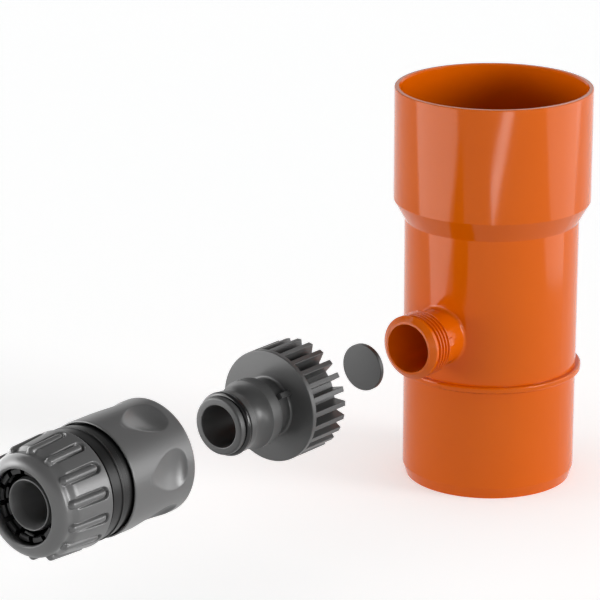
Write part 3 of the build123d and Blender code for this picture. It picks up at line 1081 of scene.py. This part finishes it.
@dataclass
class HoseConnector:
    """The connector's body, tail, spring and claws. Distances run from the sleeve's back end."""

    back: float = 0.8
    guide_bore: float = 16.3
    guide_end: float = 14.976
    socket_bore: float = 15.15
    socket_end: float = 33.6
    socket_radius: float = 18.7
    bead: float = 0.8
    bead_front: float = 2.7
    ring_back: float = 37.8
    ring_front: float = 52.2
    ring_radius: float = 25.0
    neck_front: float = 42.4
    neck_depth: float = 0.55
    ridge_back: float = 45.9
    ridge_front: float = 46.7
    ridge_radius: float = 25.45
    ridge_ramp: float = 0.5
    thread_radius: float = 21.4
    thread_end: float = 67.2
    pocket_radius: float = 17.3
    pocket_floor: float = 55.1
    bore: float = 9.0
    tail_radius: float = 11.8
    tail_end: float = 77.7
    barbs: int = 4
    barb_pitch: float = 4.2
    barb_depth: float = 0.9
    barb_step: float = 0.1
    barb_flat: float = 1.47
    tail_root: float = 0.5
    mouth_depth: float = 5.0
    mouth_edge: float = 0.25
    mouth_curve: float = 1.6
    tip_drop: float = 0.45
    lip_drop: float = 1.08
    lip_inset: float = 0.15
    mouth_steps: int = 8
    claws: int = 4
    window_back: float = 15.076
    window_front: float = 21.276
    window_width: float = 8.6
    window_spare: float = 1.0
    spring_radius: float = 20.5
    spring_wire: float = 1.0
    spring_start: float = 28.95
    spring_end: float = 37.75
    spring_turns: int = 3
    wire_sides: int = 14
    turn_steps: int = 72
    sleeve_travel: float = 4.5

    def body_outline(self) -> list[Corner]:
        """Draw the outline of the body.

        Returns:
            Its corners, round the socket, the pocket, the nut's thread and the ring.
        """
        neck = self.ring_radius - self.neck_depth
        return [
            Corner(self.back, self.guide_bore, 0.25),
            Corner(self.guide_end, self.guide_bore, 0.2),
            Corner(self.guide_end, self.socket_bore, 0.2),
            Corner(self.socket_end, self.socket_bore, 0.3),
            Corner(self.socket_end, self.bore, 0.3),
            Corner(self.pocket_floor, self.bore),
            Corner(self.pocket_floor, self.pocket_radius, 0.3),
            Corner(self.thread_end, self.pocket_radius, 0.2),
            Corner(self.thread_end, self.thread_radius, 0.3),
            Corner(self.ring_front, self.thread_radius, 0.3),
            Corner(self.ring_front, self.ring_radius, 0.35),
            Corner(self.ridge_front, self.ring_radius, 0.15),
            Corner(self.ridge_front, self.ridge_radius, 0.15),
            Corner(self.ridge_back, self.ridge_radius, 0.3),
            Corner(self.ridge_back - self.ridge_ramp, self.ring_radius, 0.3),
            Corner(self.neck_front, self.ring_radius, 0.25),
            Corner(self.neck_front, neck, 0.2),
            Corner(self.ring_back, neck, 0.2),
            Corner(self.ring_back, self.socket_radius, 0.3),
            Corner(self.bead_front, self.socket_radius, 0.1),
            Corner(self.bead_front, self.socket_radius + self.bead, 0.2),
            Corner(self.back + self.bead / 2, self.socket_radius + self.bead, 0.3),
            Corner(self.back, self.socket_radius, 0.2),
        ]

    def tail_outline(self) -> list[Corner]:
        """Draw the hose tail's outline, with barbs and a mouth that opens in a soft funnel.

        Returns:
            Its corners, from the root over the barbs and back through the mouth.
        """
        low = self.tail_radius - self.barb_depth
        root = self.pocket_floor - self.tail_root
        corners = [Corner(root, self.bore), Corner(root, low)]
        for barb in range(self.barbs, 0, -1):
            crest = self.tail_end - barb * self.barb_pitch
            corners.append(Corner(crest, low, 0.15))
            corners.append(Corner(crest + self.barb_step, self.tail_radius, 0.2))
            corners.append(Corner(crest + self.barb_flat, self.tail_radius, 0.6))
        corners.append(Corner(self.tail_end, self.tail_radius - self.tip_drop, 0.5))
        lip = self.tail_radius - self.lip_drop
        corners.append(Corner(self.tail_end, lip, 0.35))
        for step in range(1, self.mouth_steps + 1):
            reach = sin(step / self.mouth_steps * pi / 2)
            along = self.tail_end - self.mouth_edge - (self.mouth_depth - self.mouth_edge) * reach
            flare = (lip - self.lip_inset - self.bore) * (1 - reach) ** self.mouth_curve
            corners.append(Corner(along, self.bore + flare))
        return corners

    def cut_windows(self, body: Piece, axle: Axle) -> None:
        """Cut a window through the socket's wall for each locking claw.

        Args:
            body: the connector's turned body.
            axle: the connector's axle, from the back end of its sleeve.
        """
        reach = (self.window_back, self.window_front)
        radii = (self.socket_bore - self.window_spare, self.socket_radius + self.window_spare)
        window = block("window", axle, reach, radii, self.window_width)
        leave_edit()
        step = tau / self.claws
        joined(window, [turned_copy(window, axle, number * step) for number in range(1, self.claws)])
        cut = body.modifiers.new("windows", "BOOLEAN")
        cut.operation = "DIFFERENCE"
        cut.solver = "EXACT"
        cut.object = window
        choose(body)
        bpy.ops.object.modifier_apply(modifier=cut.name)
        bpy.data.objects.remove(window)

    def wind_spring(self, axle: Axle) -> None:
        """Wind the sleeve's coil spring at one length; the real one shortens towards the ring with the
        sleeve.

        Args:
            axle: the connector's axle, from the back end of its sleeve.
        """
        start = axle.point(self.spring_start + self.spring_wire / 2, 0)
        climb = self.spring_end - self.spring_start - self.spring_wire
        bpy.ops.object.select_all(action="DESELECT")
        bpy.ops.mesh.primitive_circle_add(
            vertices=self.wire_sides, radius=self.spring_wire / 2 * MM, location=(0, 0, 0)
        )
        coil = added("sleeve_spring_coil")
        edit_all()
        bpy.ops.transform.translate(value=(self.spring_radius * MM, 0, 0))
        leave_edit()
        winding = coil.modifiers.new("winding", "SCREW")
        winding.axis = "Y"
        winding.angle = tau
        winding.screw_offset = -climb / self.spring_turns * MM
        winding.iterations = self.spring_turns
        winding.steps = self.turn_steps
        winding.render_steps = self.turn_steps
        bpy.ops.object.modifier_apply(modifier=winding.name)
        edit_all()
        bpy.ops.transform.translate(value=start)
        bpy.ops.mesh.select_mode(type="EDGE")
        bpy.ops.mesh.select_all(action="DESELECT")
        bpy.ops.mesh.select_non_manifold()
        bpy.ops.mesh.edge_face_add()
        bpy.ops.mesh.select_all(action="SELECT")
        bpy.ops.mesh.normals_make_consistent(inside=False)
        leave_edit()
        stand_for(coil, "sleeve_spring", "connector", SPRING_STEEL)
        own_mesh(coil)
        log.info("sleeve spring: %d turns, %d faces", self.spring_turns, len(coil.data.polygons))

    def build(self) -> None:
        """Turn the body and its tail and dress them, the claws, the spring and the collet."""
        axle = axle_from("release_sleeve")
        body = turned("connector_body_shell", self.body_outline(), axle)
        self.cut_windows(body, axle)
        stand_for(body, "connector_body", "connector", CHARCOAL_ABS)
        tail = turned("hose_tail", self.tail_outline(), axle)
        stand_for(tail, "connector_body", "connector", GRAY_ABS)
        faces = len(body.data.polygons) + len(tail.data.polygons)
        log.info("connector body and hose tail: %d faces", faces)
        self.wind_spring(axle)
        dress_nodes(BLACK_ACETAL, "locking_claws", "grip_collet")


def stood(name: str, data: bpy.types.Camera | bpy.types.Light) -> Piece:
    """Put a camera or a lamp in the scene.

    Args:
        name: the new object's name.
        data: the camera or lamp that it carries.

    Returns:
        The object.
    """
    item = bpy.data.objects.new(name, data)
    bpy.context.scene.collection.objects.link(item)
    return item


@dataclass
class Softbox:
    """One lamp with a soft, even face that looks at the object."""

    name: str
    azimuth: float
    distance: float
    width: float
    height: float
    lift: float
    radiance: float
    tilt_at: float

    def place(self, studio: "Studio") -> None:
        """Stand the lamp beside the object.

        Args:
            studio: the studio that it stands in, which gives the camera's azimuth and the floor.
        """
        angle = radians(studio.view_azimuth + self.azimuth)
        lamp = bpy.data.lights.new(self.name, "AREA")
        lamp.shape = "RECTANGLE"
        lamp.size = self.width * MM
        lamp.size_y = self.height * MM
        lamp.energy = self.radiance * pi * lamp.size * lamp.size_y
        item = stood(self.name, lamp)
        where = Vector((sin(angle), -cos(angle), 0)) * self.distance * MM
        where.z = studio.floor_height * MM + self.lift * MM
        target = Vector((0, 0, self.tilt_at * MM + studio.floor_height * MM))
        item.location = where
        item.rotation_euler = (target - where).to_track_quat("-Z", "Z").to_euler()
        item.visible_camera = False
        # The box is there for its reflection: its light would wash out the shade on the floor
        item.visible_diffuse = False


@dataclass
class Studio:
    """Plain white floor, soft lamps and the camera at the photograph's viewing angle."""

    eye: tuple[float, float, float] = (896.6, -1272.9, 527.5)
    view_turn: float = 38.596
    view_pitch: float = 17.632
    lens: float = 199.49
    sensor: float = 36.0
    view_azimuth: float = 35.16
    floor_size: float = 16000.0
    floor_height: float = -55.0
    low_light: float = 2.95
    high_light: float = 0.16
    light_top: float = 0.08
    light_end: float = 0.32
    floor_glow: float = 0.67
    # How far out the painted contact shadow on the floor reaches, in mm
    painted_shade_reach: float = 110.0
    ceiling: float = 0.2
    band_top: float = 0.22
    ceiling_start: float = 0.44

    def camera(self) -> None:
        """Set up the camera."""
        data = bpy.data.cameras.new("studio_camera")
        data.lens = self.lens
        data.sensor_width = self.sensor
        data.clip_end = 100.0
        item = stood("studio_camera", data)
        turn = radians(self.view_turn)
        pitch = radians(self.view_pitch)
        forward = Vector((-sin(turn) * cos(pitch), cos(turn) * cos(pitch), -sin(pitch)))
        item.location = Vector(self.eye) * MM
        item.rotation_euler = forward.to_track_quat("-Z", "Y").to_euler()
        bpy.context.scene.camera = item

    def seen(self, tree: bpy.types.NodeTree) -> bpy.types.NodeSocket:
        """Return a socket that is 1 for camera, glossy and transmission rays.

        Args:
            tree: the node tree that asks.

        Returns:
            The socket to link from.
        """
        path = add_node(tree, "ShaderNodeLightPath")
        seen = path.outputs["Is Camera Ray"]
        for kind in ("Is Glossy Ray", "Is Transmission Ray"):
            inputs = {0: seen, 1: path.outputs[kind]}
            seen = add_node(tree, "ShaderNodeMath", {"operation": "MAXIMUM"}, inputs).outputs[0]
        return seen

    def floor(self) -> None:
        """Lay the pale floor under the spigot."""
        bpy.ops.object.select_all(action="DESELECT")
        place = (0, 0, self.floor_height * MM)
        bpy.ops.mesh.primitive_plane_add(size=self.floor_size * MM, location=place)
        plane = bpy.context.object
        plane.name = "studio_floor"
        paint = blank_material("matt_white_floor")
        tree = paint.node_tree
        matt = add_node(tree, "ShaderNodeBsdfDiffuse", inputs={"Color": linear(Colour.FLOOR)})
        strength = add_node(
            tree, "ShaderNodeMath", {"operation": "MULTIPLY"}, {0: self.seen(tree), 1: self.floor_glow}
        )
        # Painted shade: ambient occlusion mixes the glow towards the shade colour where something
        # stands close, a painted contact shadow at the object's foot on top of the real shadow in the
        # matt part
        near = add_node(
            tree, "ShaderNodeAmbientOcclusion", {"samples": 8}, {"Distance": self.painted_shade_reach * MM}
        )
        shade = add_node(
            tree,
            "ShaderNodeMix",
            {"data_type": "RGBA"},
            {0: near.outputs["AO"], 6: linear(Colour.FLOOR_SHADE), 7: (1.0, 1.0, 1.0, 1.0)},
        )
        glow = add_node(
            tree,
            "ShaderNodeEmission",
            inputs={"Color": shade.outputs[2], "Strength": strength.outputs[0]},
        )
        both = add_node(tree, "ShaderNodeAddShader", inputs={0: matt.outputs[0], 1: glow.outputs[0]})
        add_node(tree, "ShaderNodeOutputMaterial", inputs={"Surface": both.outputs[0]})
        plane.data.materials.append(paint)

    def world(self) -> None:
        """Light the object evenly from all round, with a white background."""
        world = bpy.data.worlds.new("white_studio")
        bpy.context.scene.world = world
        world.use_nodes = True
        tree = world.node_tree
        tree.nodes.clear()
        # The white backdrop stands as high as the band, and the ceiling above it is dim
        way = add_node(tree, "ShaderNodeTexCoord").outputs["Generated"]
        parts = add_node(tree, "ShaderNodeSeparateXYZ", inputs={0: way})
        backdrop = (self.band_top, self.ceiling_start, 1.0, self.ceiling)
        # Most of the light comes in low, from all sides, and little from above
        light = (self.light_top, self.light_end, self.low_light, self.high_light)
        levels = []
        for numbers in (light, backdrop):
            inputs = dict(zip(("From Min", "From Max", "To Min", "To Max"), numbers))
            inputs["Value"] = parts.outputs["Z"]
            ramp = add_node(
                tree, "ShaderNodeMapRange", {"interpolation_type": "SMOOTHSTEP"}, inputs
            )
            levels.append(ramp.outputs["Result"])
        strength = add_node(
            tree,
            "ShaderNodeMix",
            {"data_type": "FLOAT"},
            {0: self.seen(tree), 2: levels[0], 3: levels[1]},
        )
        sky = add_node(
            tree,
            "ShaderNodeBackground",
            inputs={"Color": (1, 1, 1, 1), "Strength": strength.outputs[0]},
        )
        add_node(tree, "ShaderNodeOutputWorld", inputs={"Surface": sky.outputs["Background"]})

    def lamps(self) -> None:
        """Stand the softboxes round the object."""
        # Azimuth, distance, width, height, lift, radiance and the height that the box looks at
        boxes = [
            Softbox("left_softbox", -70.0, 300.0, 250.0, 300.0, 152.0, 3.4, 150.0),
            Softbox("strip_light", 22.0, 300.0, 30.0, 300.0, 152.0, 8.0, 150.0),
            Softbox("right_softbox", 92.0, 370.0, 380.0, 300.0, 152.0, 2.0, 150.0),
            Softbox("back_softbox", 166.0, 640.0, 420.0, 260.0, 560.0, 1.2, 60.0),
        ]
        for box in boxes:
            box.place(self)

    def broad_light(
        self, name: str, azimuth: float, height: float, strength: float, spread: float
    ) -> None:
        """Hang one broad, even light far away.

        Args:
            name: the lamp's name.
            azimuth: where it stands, in degrees to the right of the camera.
            height: how high, in degrees.
            strength: how bright.
            spread: how wide its face looks, in degrees.
        """
        lamp = bpy.data.lights.new(name, "SUN")
        lamp.energy = strength
        lamp.angle = radians(spread)
        item = stood(name, lamp)
        angle = radians(self.view_azimuth + azimuth)
        rise = radians(height)
        towards = Vector((sin(angle) * cos(rise), -cos(angle) * cos(rise), sin(rise)))
        item.rotation_euler = (-towards).to_track_quat("-Z", "Z").to_euler()

    def build(self) -> None:
        """Set up the whole studio."""
        bpy.context.scene.view_settings.view_transform = "Standard"
        self.camera()
        self.floor()
        self.world()
        self.lamps()
        # Azimuth, height, strength and spread
        self.broad_light("right_key", 74.0, 16.0, 1.45, 26.0)
        self.broad_light("left_fill", -84.0, 10.0, 0.6, 18.0)
        log.info("studio ready")


def main() -> None:
    """Build the object piece by piece, then the studio."""
    Diverter().build()
    OutletAdapter().build()
    HoseConnector().build()
    ReleaseSleeve().build()
    ClampNut().build()
    Studio().build()
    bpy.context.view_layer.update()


if __name__ == "__main__":
    main()
